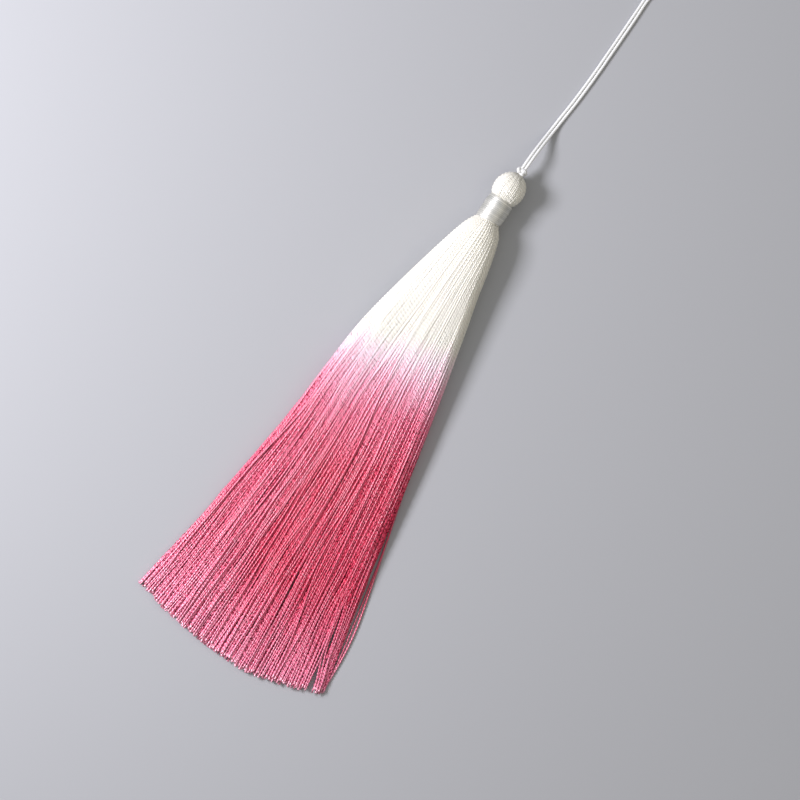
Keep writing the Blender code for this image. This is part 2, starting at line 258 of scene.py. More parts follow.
# %% Cord
CORD_DIAMETER = 0.76
CORD_RING_STEP = 0.15
CORD_SIDES = 8
# a full turn of its strands in mm, their number, how deep its grooves are, and how flat it is pressed
CORD_LAY, CORD_STRANDS, CORD_RELIEF, CORD_PRESSED = 2.4, 3, 0.06, 0.12
INTO_KNOT = 1.0
CURVE_POINTS = 24
# the route from one end to the other, in metres from the neck's foot
CORD_ROUTE = (
    (0.00036, 0.01705, 0.00414), (0.00054, 0.01980, 0.00400), (0.00086, 0.02300, 0.00310),
    (0.00122, 0.02600, 0.00185), (0.00160, 0.02900, 0.00085), (0.00206, 0.03250, 0.00040),
    (0.00294, 0.03900, 0.00038), (0.00374, 0.04700, 0.00038), (0.00436, 0.05600, 0.00038),
    (0.00492, 0.06500, 0.00038), (0.00522, 0.07100, 0.00038), (0.00486, 0.07400, 0.00038),
    (0.00406, 0.07720, 0.00038), (0.00424, 0.08040, 0.00038), (0.00618, 0.08220, 0.00038),
    (0.00812, 0.08040, 0.00038), (0.00814, 0.07720, 0.00038), (0.00692, 0.07400, 0.00038),
    (0.00608, 0.07100, 0.00038), (0.00578, 0.06500, 0.00038), (0.00522, 0.05600, 0.00038),
    (0.00460, 0.04700, 0.00038), (0.00380, 0.03900, 0.00038), (0.00292, 0.03250, 0.00040),
    (0.00246, 0.02900, 0.00085), (0.00208, 0.02600, 0.00185), (0.00172, 0.02300, 0.00310),
    (0.00140, 0.01980, 0.00400), (0.00118, 0.01705, 0.00414),
)


def cord_line():
    """The route's smooth curve in mm, with a point every ring step, run on a little into the knot."""
    route = np.array(CORD_ROUTE) / MM
    places = np.linspace(0, len(route) - 1, CURVE_POINTS * len(route))
    fine = curve_through(np.arange(len(route)), route, places)
    first = fine[0] + INTO_KNOT * unit(fine[0] - fine[1])
    last = fine[-1] + INTO_KNOT * unit(fine[-1] - fine[-2])
    line = from_neck(*np.concatenate([[first], fine, [last]]).T)[None]
    return evenly(line, round(arc_lengths(line)[0, -1] / CORD_RING_STEP))


def add_cord(line):
    """Radius = r (1 - relief + relief cos(strands (angle - 2 pi arc / lay))) (1 + pressed cos^2 angle): a
    rope of three strands, ironed nearly smooth and a little wider than high, so its two runs touch."""
    along = arc_lengths(line)
    around = corner_angles(CORD_SIDES, line.shape[:2])
    ridge = np.cos(CORD_STRANDS * (around - 2 * np.pi * along[..., None] / CORD_LAY))
    radii = CORD_DIAMETER / 2 * (1 - CORD_RELIEF + CORD_RELIEF * ridge)
    radii = radii * (1 + CORD_PRESSED * np.cos(around) ** 2)
    cord = add_tubes("hanging_cord_twist", rings_round(line, UP, around, radii), relief=ridge / 2 + 0.5)
    print("cord length in mm:", round(along[0, -1], 1))
    return cord


hanging_cord = add_cord(cord_line())
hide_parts("hanging_cord")

# %% [markdown]
# ## The knot
#
# The cord's two ends are tied in a tight overhand knot on the bead, three millimetres wide. An overhand knot
# closed on itself is a trefoil, so its line is the trefoil's own formula, squeezed until its turns touch.

# %% Knot
KNOT_SIZE = (3.1, 2.5, 2.4)
KNOT_CORD = 1.12
KNOT_CENTRE = 15.35
KNOT_OFFSET = 0.1
KNOT_RINGS, KNOT_SIDES = 180, 12


def add_knot():
    """Trefoil: across = sin t + 2 sin 2t, along = cos t - 2 cos 2t, up = -sin 3t, scaled to the size."""
    t = np.linspace(0, 2 * np.pi, KNOT_RINGS, endpoint=False)
    trefoil = np.array([np.sin(t) + 2 * np.sin(2 * t), np.cos(t) - 2 * np.cos(2 * t), -np.sin(3 * t)])
    room = (np.array(KNOT_SIZE) - KNOT_CORD) / 2
    middle = (trefoil.max(1) + trefoil.min(1)) / 2
    across, along, up = (trefoil - middle[:, None]) / np.ptp(trefoil, axis=1)[:, None] * 2 * room[:, None]
    line = from_head(KNOT_OFFSET + across, KNOT_CENTRE + along, up)[None]
    around = corner_angles(KNOT_SIDES, line.shape[:2])
    turns = round(arc_lengths(line).max() / CORD_LAY)
    ridge = np.cos(CORD_STRANDS * (around - turns * t[None, :, None]))
    radii = KNOT_CORD / 2 * (1 - CORD_RELIEF + CORD_RELIEF * ridge)
    rings = rings_round(line, UP, around, radii)
    return add_tubes("cord_overhand_knot", rings, closed=True, relief=ridge / 2 + 0.5)


knot = add_knot()
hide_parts("cord_knot")

# %% [markdown]
# ## A twisted thread
#
# Tassel thread is two plies twisted together, about half a millimetre thick. Seen from the side it is a chain
# of beads: wide where the plies lie beside each other, narrow where one covers the other. A flat
# four-cornered section that turns half a turn for each bead gives just that outline with very few faces, so
# three hundred threads stay light. Numbers at its corners tell the material where each point lies: on a crown
# of the twist or in a groove, under other threads or not, how far from the cut end, and how far into the dye.

# %% Thread
# half the section's width across both plies and across one, in mm
THREAD_WIDE, THREAD_NARROW = 0.29, 0.19
BEAD, BEAD_SWELL, RINGS_PER_BEAD = 0.95, 0.05, 4.0
# how far a thread's twist is turned from its neighbour's, in radians, and how its tone varies
TWIST_DRIFT, TWIST_SPREAD, TONE_SPREAD = 0.55, 0.2, 0.16
FRAY_LENGTH, FRAY_SPREAD = 1.0, 0.25
# a stouter thread slims over this length before its tip, and one without a tip counts as this far from it
SLIMMING, NO_TIP = 6.0, 50.0
# the dye border's slant, a second slant between these stations, how far both reach across in mm, and the
# dip's cap on the left and on the right with the x / s between them: the second slant and the lower left
# cap are painted light and shade, keeping the left paler and the right deeper
DIP_SLANT, PAINTED_LIGHT_SLANT, PAINTED_LIGHT_STATIONS, SLANT_REACH = 0.30, 0.25, (46.0, 66.0), 10.0
LIT_LEFT_DIP_CAP, RIGHT_DIP_CAP, LIT_LEFT_SPAN = 64.0, 78.0, (-0.17, -0.02)
# painted shade under other threads grows to full over this depth, in mm
PAINTED_SHADE_DEPTH = 0.6
# light comes in between the cut ends, so there the painted shade is less
TIPS_OPEN, TIPS_REACH = 0.3, 26.0
# the lowest a thread's line may run without its frayed end going into the table
LOWEST = THREAD_WIDE * (1 + BEAD_SWELL) * (1 + FRAY_SPREAD)


def dip_of(path):
    """How far into the dye a point lies, in mm below the neck: s + (first slant + second slant below its own
    line) x, and not more than its side's cap, which rises from the left one's by x / s. The second slant and
    the lower left cap are painted light and shade: they keep the left paler and the right deeper."""
    s, x = NECK_Y - path[..., 1], path[..., 0] - NECK_X
    # the dye border's slant, and below it a second slant, painted light on the left and painted shade on the
    # right
    slant = DIP_SLANT + PAINTED_LIGHT_SLANT * ease(s, *PAINTED_LIGHT_STATIONS)
    # painted light: the left side's dip is capped lower, so it stays paler
    most = LIT_LEFT_DIP_CAP + (RIGHT_DIP_CAP - LIT_LEFT_DIP_CAP) * ease(x / np.maximum(s, 1.0), *LIT_LEFT_SPAN)
    return np.minimum(s + slant * np.clip(x, -SLANT_REACH, SLANT_REACH), most)


def add_threads(name, path, deep, outward, rng, rings=RINGS_PER_BEAD, bead=BEAD, stout=1.0, frayed=True):
    """Corner c of a ring lies at angle c pi/2 + turn, with turn = pi arc / bead + phase, at the wide radius
    for an even c and the narrow one for an odd c. The crown, cos^2 turn, is 1 where the plies lie side by
    side: there the thread swells a little, and it shrinks where they cross. Each phase is the neighbour's
    plus a small step, so beads side by side make rows. A thread is stout times as thick, except at its tip,
    where it frays and swells. Painted shade under other threads = (deep + wide - the corner's height over
    its line) / its depth, and less where tips are open."""
    count = round(arc_lengths(path)[:, -1].max() / bead * rings)
    deep = read_at(np.linspace(0, 1, count), np.linspace(0, 1, path.shape[1]), deep)
    path = evenly(path, count)
    along = arc_lengths(path)
    phase = np.cumsum(rng.normal(TWIST_DRIFT, TWIST_SPREAD, len(path)))[:, None]
    turn = np.pi * along / bead + phase
    crown = np.cos(turn) ** 2
    corners = np.arange(4)
    angles = corners * np.pi / 2 + turn[..., None]
    from_tip = along[:, -1:] - along
    swell = 1 + BEAD_SWELL * (2 * crown - 1)
    radii = np.where(corners % 2 == 0, THREAD_WIDE, THREAD_NARROW) * swell[..., None]
    radii *= 1 + (stout - 1) * ease(from_tip, 0.0, SLIMMING)[..., None]
    open_ends = 0.0
    if frayed:
        radii *= 1 + FRAY_SPREAD * (1 - ease(from_tip, 0.0, FRAY_LENGTH))[..., None]
        open_ends = TIPS_OPEN * (1 - ease(from_tip, 0.0, TIPS_REACH))[..., None]
    tone = np.broadcast_to(rng.normal(0.5, TONE_SPREAD, len(path)).clip(0, 1)[:, None], along.shape)
    # painted shade: how deep a corner lies under other threads
    shelter = (deep[..., None] + THREAD_WIDE + np.sin(angles) * radii) / PAINTED_SHADE_DEPTH * (1 - open_ends)
    return add_tubes(
        name,
        rings_round(path, outward, angles, radii),
        crown=crown,
        shelter=shelter.clip(0, 1),
        tone=tone,
        tip=from_tip if frayed else np.full_like(from_tip, NO_TIP),
        dip=dip_of(path),
    )


# %% [markdown]
# ## The head
#
# The hank of threads is laid over a round bead and drawn down on every side, so that its threads cover the
# bead as meridians from the knot to the neck. There are two coats of them: the lower one fills what the upper
# one leaves open, and a plain bead closes the rest. Each meridian follows the bead's outline, nudged a little
# sideways, as threads that were combed down by hand are.

# %% Head
HEAD_SEED = 4
BALL_RADIUS, BALL_HALF_LENGTH, BALL_CENTRE = 4.24, 4.82, 9.85
BALL_START, BALL_END = math.radians(10), math.radians(126)
COAT_THREADS = 52
COAT_DEPTHS = (0.16, 0.28)
COAT_POINTS = 40
# how far a thread, here or in the fringe, strays from its even place, in steps
JITTER = 0.12
# how far meridians sway and lean, in radians, and rise and fall, in mm
SWAY, LEAN, RIPPLE = 0.015, 0.05, 0.03
TUCK_RADIUS, TUCK_DEPTH = 2.6, 0.9


def meridians(rng, depth, offset):
    """across = r sin p cos m and up = r sin p sin m at height centre + h cos p, for polar angle p and
    meridian m. A last point tucks each thread into the neck."""
    polar = np.linspace(BALL_START, BALL_END, COAT_POINTS)
    number = np.arange(COAT_THREADS) + offset + rng.uniform(-JITTER, JITTER, COAT_THREADS)
    sway = rng.normal(0, SWAY, (COAT_THREADS, 1)) * np.sin(2 * polar) + LEAN * np.sin(polar)
    around = (2 * np.pi * number / COAT_THREADS)[:, None] + sway
    deep = depth + RIPPLE * np.sin(3 * polar + rng.uniform(0, 6.28, (COAT_THREADS, 1)))
    radius = (BALL_RADIUS - deep) * np.sin(polar)
    along = BALL_CENTRE + (BALL_HALF_LENGTH - deep) * np.cos(polar)
    radius = np.concatenate([radius, np.full((COAT_THREADS, 1), TUCK_RADIUS)], axis=1)
    along = np.concatenate([along, along[:, -1:] - TUCK_DEPTH], axis=1)
    around = np.concatenate([around, around[:, -1:]], axis=1)
    up = np.maximum(radius * np.sin(around), THREAD_WIDE * (1 + BEAD_SWELL) - AXIS_Z)
    return from_head(radius * np.cos(around), along, up)


def add_head():
    """Both coats, seen outward from the bead's middle."""
    rng = np.random.default_rng(HEAD_SEED)
    path = np.concatenate([meridians(rng, depth, coat / 2) for coat, depth in enumerate(COAT_DEPTHS)])
    path = evenly(path, COAT_POINTS)
    path = evenly(path, round(arc_lengths(path)[:, -1].max() / BEAD * RINGS_PER_BEAD))
    deep = np.repeat(COAT_DEPTHS, COAT_THREADS)[:, None] - COAT_DEPTHS[0] + np.zeros(path.shape[:2])
    outward = path - from_head(0.0, BALL_CENTRE, 0.0)
    return add_threads("head_folded_threads", path, deep, outward, rng, frayed=False)


head = add_head()
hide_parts("head")

# %% The bead under the threads
BEAD_ROWS, BEAD_SIDES = 28, 48
BEAD_DEPTH = 0.36
BEAD_START, BEAD_END = math.radians(3), math.radians(135)


def add_bead():
    """A spheroid inside the lower coat: rings of radius r sin p at height centre + h cos p."""
    polar = np.linspace(BEAD_START, BEAD_END, BEAD_ROWS)
    line = from_head(0.0, BALL_CENTRE + (BALL_HALF_LENGTH - BEAD_DEPTH) * np.cos(polar), 0.0)[None]
    around = corner_angles(BEAD_SIDES, line.shape[:2])
    radii = np.broadcast_to(((BALL_RADIUS - BEAD_DEPTH) * np.sin(polar))[None, :, None], around.shape)
    plain = np.zeros(radii.shape)
    rings = rings_round(line, UP, around, radii)
    # the bead takes the grooves' painted shade, and half the painted shade under threads on its shine
    return add_tubes("head_bead", rings, crown=plain, shelter=plain + 0.5, tone=plain + 0.5)


bead_body = add_bead()
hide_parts("head")

# %% [markdown]
# ## The neck binding
#
# Below the bead the threads are bound with floss: untwisted filaments laid turn beside turn, so glossy that
# the neck looks like satin. The winding is one surface. Its radius is a slightly uneven barrel plus the crown
# of each turn, and the turns climb as a helix, so the crown depends on height minus the turned angle.

# %% Neck binding
BINDING_SEED = 9
BINDING_LENGTH = 6.7
BINDING_BARREL = ((0.0, 3.36), (0.5, 3.47), (2.0, 3.58), (4.0, 3.66), (5.6, 3.58), (6.3, 3.50), (6.7, 3.36))
# the two end rings are drawn in to this radius, this far beyond the next ones
END_RADIUS, END_STEP = 3.0, 0.02
TURN_PITCH, TURN_CROWN, CROWN_POWER, TURN_UNEVEN = 0.46, 0.07, 0.7, 0.035
TURNS = np.arange(-2, 20)
FOOT_SLANT, RIM_SLANT = 0.10, -0.04
BINDING_ROWS, BINDING_SIDES = 106, 96


def add_binding():
    """Radius = barrel(height) + crown (|sin(pi w)|^power - 1) + a small offset for each turn, with w = height
    / pitch - angle / 2 pi. The floss's own length is floor(w) + angle / 2 pi, which runs on from turn to
    turn. The two ends slant a little, each its own way, so the winding is shorter on the right."""
    rng = np.random.default_rng(BINDING_SEED)
    height = np.linspace(0.0, BINDING_LENGTH, BINDING_ROWS)[:, None]
    around = corner_angles(BINDING_SIDES, (BINDING_ROWS,))
    knots, radii = np.array(BINDING_BARREL).T
    barrel = curve_through(knots, radii[:, None], height[:, 0])
    wound = height / TURN_PITCH - around / (2 * np.pi)
    crown = np.abs(np.sin(np.pi * wound))
    floss_length = np.floor(wound) + around / (2 * np.pi)
    uneven = np.interp(floss_length, TURNS, rng.normal(0, TURN_UNEVEN, len(TURNS)))
    radius = barrel + TURN_CROWN * (crown**CROWN_POWER - 1) + uneven
    radius[[0, -1]] = END_RADIUS
    line = from_head(0.0, np.clip(height[:, 0], END_STEP, BINDING_LENGTH - END_STEP), 0.0)
    line[[0, -1]] = from_head(0.0, np.array([0.0, BINDING_LENGTH]), 0.0)
    rings = rings_round(line[None], UP, around[None], radius[None])
    share = height / BINDING_LENGTH
    slant = ((1 - share) * FOOT_SLANT + share * RIM_SLANT) * radius * np.cos(around)
    rings = rings + slant[None, ..., None] * unit(line[-1] - line[0])
    tone = np.interp(floss_length, TURNS, rng.uniform(0, 1, len(TURNS)))
    return add_tubes("neck_floss_winding", rings, tone=tone[None], crown=crown[None])


binding = add_binding()
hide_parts("neck_binding")

# %% [markdown]
# ## The skirt's outline
#
# The fringe leaves the neck as a round hank, swells over the shoulder and flattens into a fan a few threads
# thick. Its outline is a short table of sections, from which a smooth curve reads any station.

# %% Sections of the skirt
# s, left, right, bottom and top in mm; the last is 0 on a round section and 1 on a square one
SKIRT = np.array([
    (-1.2, -2.97, 2.03, 1.64, 6.64, 0.0),
    (0.0, -3.77, 2.83, 0.84, 7.44, 0.0),
    (2.6, -5.35, 4.50, -0.10, 8.50, 0.05),
    (5.2, -6.35, 5.25, -0.30, 8.90, 0.10),
    (10.4, -8.05, 6.35, -0.40, 8.90, 0.15),
    (18.2, -10.35, 7.65, -0.35, 8.30, 0.20),
    (26.0, -12.50, 9.20, -0.25, 7.60, 0.25),
    (39.0, -15.65, 11.65, -0.15, 6.60, 0.35),
    (52.0, -17.50, 13.95, -0.05, 5.70, 0.40),
    (66.0, -19.00, 16.25, 0.00, 5.10, 0.40),
    (91.0, -23.25, 19.85, 0.00, 3.80, 0.45),
    (104.0, -25.60, 21.70, 0.00, 2.80, 0.50),
    (118.0, -28.60, 24.10, 0.00, 1.90, 0.60),
    (135.0, -32.30, 26.80, 0.00, 1.50, 0.70),
])
FLOOR_START, FLOOR_END = 20.0, 60.0


def in_section(u, v, s):
    """x = middle + u sqrt(1 - b v^2) x half width and z = middle + v sqrt(1 - b u^2) x half height, with b
    1/2 on a round section and 0 on a square one. The underside, on the table, squares up sooner."""
    left, right, bottom, top, square = np.moveaxis(curve_through(SKIRT[:, 0], SKIRT[:, 1:], s), -1, 0)
    square = np.where(v < 0, square + (1 - square) * ease(s, FLOOR_START, FLOOR_END), square)
    bend = (1 - square) / 2
    across = u * np.sqrt(1 - bend * v * v)
    up = v * np.sqrt(1 - bend * u * u)
    return (left + right + across * (right - left)) / 2, (bottom + top + up * (top - bottom)) / 2


# lines are worked out at these stations, of which three rows lie at 130, 129 and 124 mm
STATIONS = np.arange(-1.2, 134.0, 0.8)
NEAR_END, AT_TIPS, BESIDE_GAP = -5, -6, -12
OUTLINE_POINTS = 361


def on_outline(share, depth):
    """x and z of threads that keep their share of the girth, from 0 at the right edge over the top, at every
    station, and lie depth inside the outline: point - depth x outward normal, the tangent turned back."""
    turn = np.linspace(0, 2 * np.pi, OUTLINE_POINTS)
    reach = np.maximum(np.abs(np.cos(turn)), np.abs(np.sin(turn)))
    u, v = np.cos(turn) / reach, np.sin(turn) / reach
    x, z = in_section(u[None], v[None], np.repeat(STATIONS[:, None], OUTLINE_POINTS, axis=1))
    line = np.stack([x, z], axis=-1)
    girth = arc_lengths(line)
    girth /= girth[:, -1:]
    tangent = np.gradient(line, axis=1)
    normal = unit(np.stack([tangent[..., 1], -tangent[..., 0]], axis=-1))
    rows = [
        [np.interp(share % 1, marks, row) for row in (*points.T, *ways.T)]
        for marks, points, ways in zip(girth, line, normal)
    ]
    x, z, nx, nz = np.moveaxis(np.array(rows), 0, -1)
    return x - depth * nx, z - depth * nz


x, z = on_outline(np.array([0.0, 0.25, 0.5, 0.75]), 0.0)
print("fan at 130 mm, right, top, left and bottom:", np.stack([x, z], axis=-1)[:, NEAR_END].round(1).tolist())

# %% [markdown]
# ## How the threads lie
#
# A real fringe is never combed perfectly even. Each thread wanders by a sum of slow waves of its own. Waves
# that run across the fan push neighbours together and apart, which makes the streaks of light and dark. Near
# the right edge the fringe parts, two threads bow out from that edge, and here and there a thread crosses
# over its neighbours.

# %% Wandering and parting
# its place between the edges, where it opens and has opened, its half width, and how far off threads move
PARTING_U, PARTING_START, PARTING_END, PARTING_HALF_WIDTH, PARTING_REACH = 0.86, 97.0, 113.0, 0.9, 0.35
# where loose threads leave the edge, lie down and come back, how late they bow, and how far each does
LOOSE_START, LOOSE_DOWN, LOOSE_END, LOOSE_LATENESS, LOOSE_BOWS = 69.0, 92.0, 126.5, 1.5, (2.05, 1.8)
# length across the fan, size, first turn in radians, and mm along the fringe for each radian more
CLUMPS = ((3.1, 0.05, 0.0, 38.0), (5.3, 0.09, 2.1, 55.0), (8.9, 0.13, 4.2, 72.0))
EDGE_HOLD = 0.12
# three sines of random phase add up to about this
THREE_SINES = 1.7


def waves(rng, count, shortest, longest):
    """A smooth random line for each thread, about 1 high, from sines of the station with random lengths and
    phases."""
    lengths = rng.uniform(shortest, longest, (3, count, 1))
    phases = rng.uniform(0, 2 * np.pi, (3, count, 1))
    return np.sin(2 * np.pi * STATIONS / lengths + phases).sum(0) / THREE_SINES


def in_fan(x):
    """Where x lies between the edges of the fan, from -1 at the left one to 1 at the right one."""
    left, right = curve_through(SKIRT[:, 0], SKIRT[:, 1:3], STATIONS).T
    return (2 * x - left - right) / (right - left)


def clumped(x, strength):
    """x plus the sum of size sin(2 pi x / length + turn + station / drift) over the clumps: neighbours close
    up or open out. It fades at the edges, which stay straight."""
    moved = x.copy()
    strength = strength * ease(1 - np.abs(in_fan(x)), 0.0, EDGE_HOLD)
    for length, size, turn, drift in CLUMPS:
        moved += strength * size * np.sin(2 * np.pi * x / length + (turn + STATIONS / drift))
    return moved


def parted(x):
    """Opens the fringe at the parting: threads move off by the gap's half width, less towards the far edge,
    and each stays on the side where its tip is, so the gap runs straight."""
    u = in_fan(x)
    opening = PARTING_HALF_WIDTH * ease(STATIONS, PARTING_START, PARTING_END)
    side = np.where(u[:, [AT_TIPS]] > PARTING_U, 1.0, -1.0)
    off = np.clip((u - PARTING_U) * side, 0, None)
    reach = np.where(side > 0, 1 - PARTING_U, PARTING_REACH)
    return x + opening * side * np.clip(1 - off / reach, 0, 1)


def bow(size):
    """size sin(pi t^k) for t from 0 where the loose thread leaves the edge to 1 where it comes back."""
    t = np.clip((STATIONS - LOOSE_START) / (LOOSE_END - LOOSE_START), 0, 1)
    return size * np.sin(np.pi * t**LOOSE_LATENESS)


# %% Cut to length
LONGEST_THREAD, LONGEST_X, TRIM_SPREAD = 132.9, 5.0, 0.7
LOSS_LEFT, LOSS_RIGHT = 0.060, 0.125


def cut(x, z, deep, start, rng):
    """Lines from station start to the tip, one thread's length from the neck: s^2 + x^2 = length^2. The
    longest is right of the middle, and the others lose a fixed length for each mm between. How deep each
    lies is read at the same stations."""
    at_tip = x[:, -1]
    loss = np.where(at_tip < LONGEST_X, LOSS_LEFT, LOSS_RIGHT) * np.abs(at_tip - LONGEST_X)
    length = LONGEST_THREAD - loss + rng.uniform(-TRIM_SPREAD, TRIM_SPREAD, len(x))
    tip = np.sqrt(length**2 - at_tip**2)
    s = np.linspace(start, tip, len(STATIONS), axis=1)
    x, z, deep = (read_at(s, STATIONS, lines) for lines in (x, z, deep))
    return from_neck(x, -s, z), deep


# %% [markdown]
# ## The outer threads
#
# A hundred and seventy-two threads keep an even share of the girth from the neck to the tips, and each is as
# thick as its share is wide at the tips. Nearer the neck there is less room, so every second thread sinks
# between its neighbours, and closer still every second of the rest. Those on top and at the sides get a fine
# twist, and those on the underside a coarser one. A few more cross over the top.

# %% Outer threads
OUTER_SEED, OUTER_THREADS = 11, 172
SURFACE_DEPTH = 0.22
# two threads whose lines are this far apart in mm touch
TOUCH = 0.565
# the tight shoulder shows this share of the relief, and the fringe all of it after these stations
SHOULDER_RELIEF, LOOSENING = 0.15, (26.0, 128.0)
# groups of neighbours lie higher or lower: groups round the girth, size in mm, drift along the fringe in mm
HILLS = ((13, 0.06, 31.0), (22, 0.045, 19.0), (37, 0.035, 25.0))
# how far threads sink, wave up and down, and wander sideways at the neck and more so at the tips, in mm
OPEN_DEPTH, WAVE_DEPTH, NECK_WANDER, TIP_WANDER = 0.08, 0.07, 0.03, 0.20
# the shortest and longest of those waves in mm
WAVE_LENGTHS, WANDER_LENGTHS = (15, 50), (22, 75)
# threads start to rise and sink, do it fully, and start to spread sideways at these stations
OPENS, OPEN, SPREADS = 10.0, 62.0, 5.0
OPENED = ease(STATIONS, OPENS, OPEN)
LOOSENESS = ease(STATIONS, SPREADS, STATIONS[-1])
TOP_SHARES = (-0.03, 0.53)
# crossing threads: how many, from which shares of the girth, how far, and their first mm, length and lift
CROSSING_THREADS, CROSSING_SHARES, CROSSING_DRIFT = 20, (0.06, 0.44), (1.2, 4.0)
CROSSING_START, CROSSING_LENGTH, CROSSING_LIFT = (20, 80), (35, 60), 0.26
# those over the parting: how many, how far, where, each how much later, from how near, and which shares
GAP_CROSSINGS, GAP_DRIFT, GAP_CROSSED, GAP_DELAY = 3, 2.6, (111.0, 127.0), 2.5
GAP_BESIDE, GAP_SHARES = 0.03, 0.4


def hills(share):
    """Sum of size sin(2 pi count share + station / drift) over the groups."""
    share = share[:, None]
    return sum(size * np.sin(2 * np.pi * count * share + STATIONS / drift) for count, size, drift in HILLS)


def sunk(number, pitch):
    """How deep a thread lies to touch its neighbours: sqrt(touch^2 - pitch^2), where the pitch is one step
    for an odd number, and two for one that leaves 2 over after 4. The odd ones lie below those, too."""
    second, third = (np.sqrt(np.clip(TOUCH**2 - (steps * pitch) ** 2, 0, None))[None] for steps in (1, 2))
    number = number[:, None]
    return np.where(number % 2 == 1, second + third / 2, np.where(number % 4 == 2, third, 0.0))


def outer_lines(rng):
    """share = (i + jitter) / n, and depth = surface depth + how far it is sunk + waves."""
    number = np.arange(OUTER_THREADS)
    share = (number + rng.uniform(-JITTER, JITTER, OUTER_THREADS)) / OUTER_THREADS
    x, z = on_outline(number / OUTER_THREADS, SURFACE_DEPTH)
    pitch = np.hypot(x - np.roll(x, 1, 0), z - np.roll(z, 1, 0)).mean(0)
    wave = (WAVE_DEPTH * waves(rng, OUTER_THREADS, *WAVE_LENGTHS) + hills(share)) * OPENED
    loosened = SHOULDER_RELIEF + (1 - SHOULDER_RELIEF) * ease(STATIONS, *LOOSENING)
    deep = sunk(number, pitch) * loosened + wave
    x, z = on_outline(share, SURFACE_DEPTH + deep + OPEN_DEPTH * OPENED)
    wander = (NECK_WANDER + TIP_WANDER * LOOSENESS) * waves(rng, OUTER_THREADS, *WANDER_LENGTHS)
    return share, clumped(x, LOOSENESS) + wander, z, deep


def crossing_lines(share, x, z, deep, rng):
    """More threads that start beside others and drift over their neighbours, lifted clear of them: x + drift
    away and z + lift away, where away eases from 0 to 1. The last few cross the parting from its left."""
    top = np.flatnonzero((share > CROSSING_SHARES[0]) & (share < CROSSING_SHARES[1]))
    chosen = rng.choice(top, CROSSING_THREADS, replace=False)
    from_gap = np.abs(in_fan(x)[:, BESIDE_GAP] - PARTING_U + GAP_BESIDE) + (share > GAP_SHARES)
    size = (CROSSING_THREADS, 1)
    drift = rng.uniform(*CROSSING_DRIFT, size) * rng.choice([-1, 1], size)
    start = rng.uniform(*CROSSING_START, size)
    away = ease(STATIONS, start, start + rng.uniform(*CROSSING_LENGTH, size))
    over_gap = ease(STATIONS - GAP_DELAY * np.arange(GAP_CROSSINGS)[:, None], *GAP_CROSSED)
    drift = np.concatenate([drift, np.full((GAP_CROSSINGS, 1), GAP_DRIFT)])
    away = np.concatenate([away, over_gap])
    chosen = np.concatenate([chosen, np.argsort(from_gap)[:GAP_CROSSINGS]])
    x, z = x[chosen] + drift * away, z[chosen] + CROSSING_LIFT * away
    return share[chosen], x, z, deep[chosen] * (1 - away)


def bow_out(share, x, z):
    """The threads nearest the right edge leave it in a bow and come down to the table."""
    order = np.argsort(np.abs((share + 0.5) % 1 - 0.5))[: len(LOOSE_BOWS)]
    down = ease(STATIONS, LOOSE_START, LOOSE_DOWN)
    for thread, size in zip(order, LOOSE_BOWS):
        x[thread] += bow(size)
        z[thread] += (LOWEST - z[thread]) * down


rng = np.random.default_rng(OUTER_SEED)
share, x, z, deep = outer_lines(rng)
bow_out(share, x, z)
crossing = crossing_lines(share, x, z, deep, rng)
share, x, z, deep = (np.concatenate(pair) for pair in zip((share, x, z, deep), crossing))
outer, deep = cut(parted(x), np.maximum(z, LOWEST), deep, STATIONS[0], rng)
on_top = (share - TOP_SHARES[0]) % 1 < TOP_SHARES[1] - TOP_SHARES[0]
print("threads on top and under:", on_top.sum(), (~on_top).sum())

# %% Top and underside as pieces
COARSE_RINGS, UNDER_BEAD, PIECE_SEED = 2.4, 1.2, 20
skirt_pieces = []
for label, chosen, outward, parts, rings, bead in (
    ("top", on_top, UP, 3, RINGS_PER_BEAD, BEAD),
    ("under", ~on_top, -UP, 2, COARSE_RINGS, UNDER_BEAD),
):
    for number, group in enumerate(np.array_split(np.flatnonzero(chosen), parts), 1):
        name, rng = f"fringe_{label}_threads_{number}", np.random.default_rng(PIECE_SEED + number)
        skirt_pieces.append(add_threads(name, outer[group], deep[group], outward, rng, rings, bead))

# %% [markdown]
# ## The inner threads and the hank's core
#
# More threads lie inside, seen only where the outer ones leave a gap and at the tips. One coat of them runs
# close under the top and gathers below its gaps, the other in the middle of the fringe, and both start in the
# shoulder. They stand for more threads than they are, so they are drawn stouter, with a coarser twist. The
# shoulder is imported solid, so a plain body just under its outer threads stands for those that don't show.

# %% Inner threads
INNER_SEED = 17
UNDER_TOP_THREADS, UNDER_TOP_DEPTH, UNDER_TOP_JITTER = 96, 0.43, (0.3, 0.7)
# the middle coat's half width, its height, and how far its threads stray from both
MIDDLE_THREADS, MIDDLE_U, MIDDLE_V, STRAY_U, STRAY_V = 36, 0.95, -0.1, 0.01, 0.25
INNER_START, INNER_BEAD, INNER_STOUT = 14.0, 2.8, 1.25
# clumped against the outer threads, so they lie where those open out
INNER_GATHER, INNER_WANDER = -0.6, 0.2


def under_top_lines(rng):
    """An even share of the upper half of the girth for each, a fixed depth inside the outline."""
    number = np.arange(UNDER_TOP_THREADS) + rng.uniform(*UNDER_TOP_JITTER, UNDER_TOP_THREADS)
    share = number / UNDER_TOP_THREADS / 2
    return on_outline(share, UNDER_TOP_DEPTH + hills(share) * OPENED)


def middle_lines(rng):
    """u evenly across the section, each with its own jitter, and v near the middle of its height."""
    u = (2 * np.arange(MIDDLE_THREADS) + 1) / MIDDLE_THREADS - 1
    u = u + rng.uniform(-STRAY_U, STRAY_U, MIDDLE_THREADS)
    v = MIDDLE_V + rng.uniform(-STRAY_V, STRAY_V, MIDDLE_THREADS)
    s = np.broadcast_to(STATIONS, (MIDDLE_THREADS, len(STATIONS)))
    return in_section(MIDDLE_U * u[:, None], v[:, None], s)


